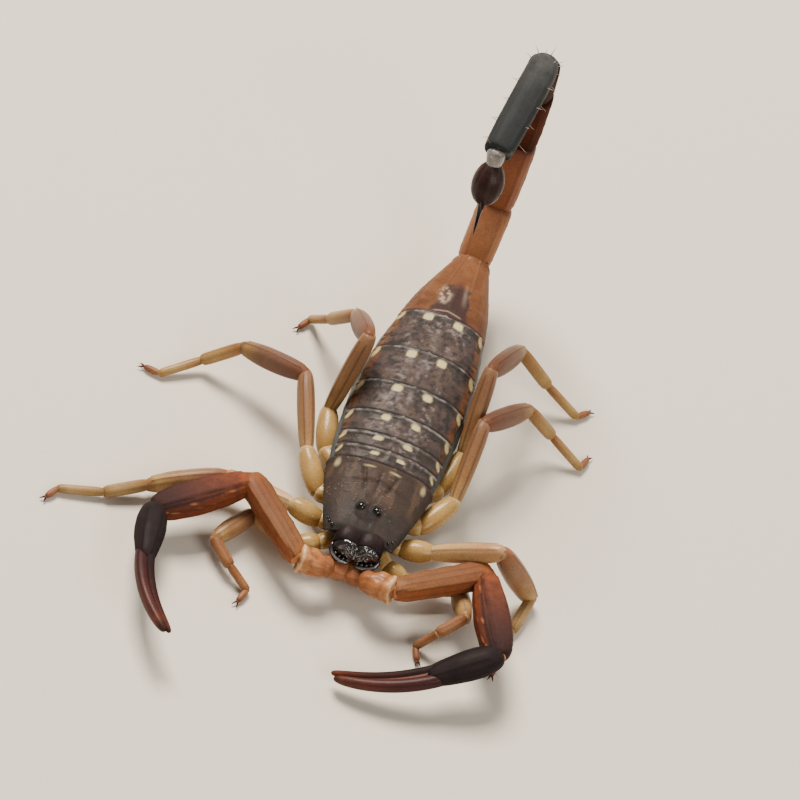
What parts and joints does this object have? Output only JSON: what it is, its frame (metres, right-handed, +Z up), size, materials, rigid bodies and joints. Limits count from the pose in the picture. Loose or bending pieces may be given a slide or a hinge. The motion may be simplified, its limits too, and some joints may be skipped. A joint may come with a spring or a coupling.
{
  "type": "scorpion",
  "caption": "Life-size thick-tailed scorpion standing on its eight feet, slender pincers spread in front and the tail curled forward over its back.",
  "frame": {"origin": "centre of the bounding box on the floor it stands on", "axes": "+Z up, the head looks along -Y and the tail rises at +Y, the animal's own left side is +X"},
  "size_m": [0.0378, 0.0502, 0.0285],
  "materials": {
    "carapace_cuticle": "satin",
    "eye": "glossy",
    "jaw_cuticle": "glossy",
    "tergite_cuticle": "satin",
    "last_tergite_cuticle": "satin",
    "belly_cuticle": "satin",
    "comb_cuticle": "satin",
    "tail_base_cuticle": "satin",
    "tail_middle_cuticle": "satin",
    "tail_end_cuticle": "satin",
    "telson_cuticle": "satin",
    "arm_root_cuticle": "satin",
    "arm_femur_cuticle": "satin",
    "arm_patella_cuticle": "satin",
    "hand_cuticle": "satin",
    "finger_cuticle": "satin",
    "leg_femur_cuticle": "satin",
    "leg_patella_cuticle": "satin",
    "leg_foot_cuticle": "satin"
  },
  "bodies": {
    "root": {"carapace": "carapace_cuticle", "median_eye_right": "eye", "median_eye_left": "eye", "chelicera_right": "jaw_cuticle", "chelicera_left": "jaw_cuticle", "tergite_1": "tergite_cuticle", "tergite_2": "tergite_cuticle", "tergite_3": "tergite_cuticle", "tergite_4": "tergite_cuticle", "tergite_5": "tergite_cuticle", "tergite_6": "tergite_cuticle", "tergite_7": "last_tergite_cuticle", "coxosternum": "belly_cuticle", "sternite_3": "belly_cuticle", "sternite_4": "belly_cuticle", "sternite_5": "belly_cuticle", "sternite_6": "belly_cuticle", "sternite_7": "belly_cuticle", "pecten_right": "comb_cuticle", "pecten_left": "comb_cuticle", "metasoma_1": "tail_base_cuticle", "metasoma_2": "tail_base_cuticle", "metasoma_3": "tail_middle_cuticle", "metasoma_4": "tail_middle_cuticle", "metasoma_5": "tail_end_cuticle", "telson": "telson_cuticle", "arm_trochanter_right": "arm_root_cuticle", "arm_femur_right": "arm_femur_cuticle", "arm_patella_right": "arm_patella_cuticle", "arm_hand_right": "hand_cuticle", "arm_moving_finger_right": "finger_cuticle", "arm_trochanter_left": "arm_root_cuticle", "arm_femur_left": "arm_femur_cuticle", "arm_patella_left": "arm_patella_cuticle", "arm_hand_left": "hand_cuticle", "arm_moving_finger_left": "finger_cuticle", "leg_1_femur_right": "leg_femur_cuticle", "leg_1_patella_right": "leg_patella_cuticle", "leg_1_foot_right": "leg_foot_cuticle", "leg_1_femur_left": "leg_femur_cuticle", "leg_1_patella_left": "leg_patella_cuticle", "leg_1_foot_left": "leg_foot_cuticle", "leg_2_femur_right": "leg_femur_cuticle", "leg_2_patella_right": "leg_patella_cuticle", "leg_2_foot_right": "leg_foot_cuticle", "leg_2_femur_left": "leg_femur_cuticle", "leg_2_patella_left": "leg_patella_cuticle", "leg_2_foot_left": "leg_foot_cuticle", "leg_3_femur_right": "leg_femur_cuticle", "leg_3_patella_right": "leg_patella_cuticle", "leg_3_foot_right": "leg_foot_cuticle", "leg_3_femur_left": "leg_femur_cuticle", "leg_3_patella_left": "leg_patella_cuticle", "leg_3_foot_left": "leg_foot_cuticle", "leg_4_femur_right": "leg_femur_cuticle", "leg_4_patella_right": "leg_patella_cuticle", "leg_4_foot_right": "leg_foot_cuticle", "leg_4_femur_left": "leg_femur_cuticle", "leg_4_patella_left": "leg_patella_cuticle", "leg_4_foot_left": "leg_foot_cuticle"}
  },
  "joints": []
}
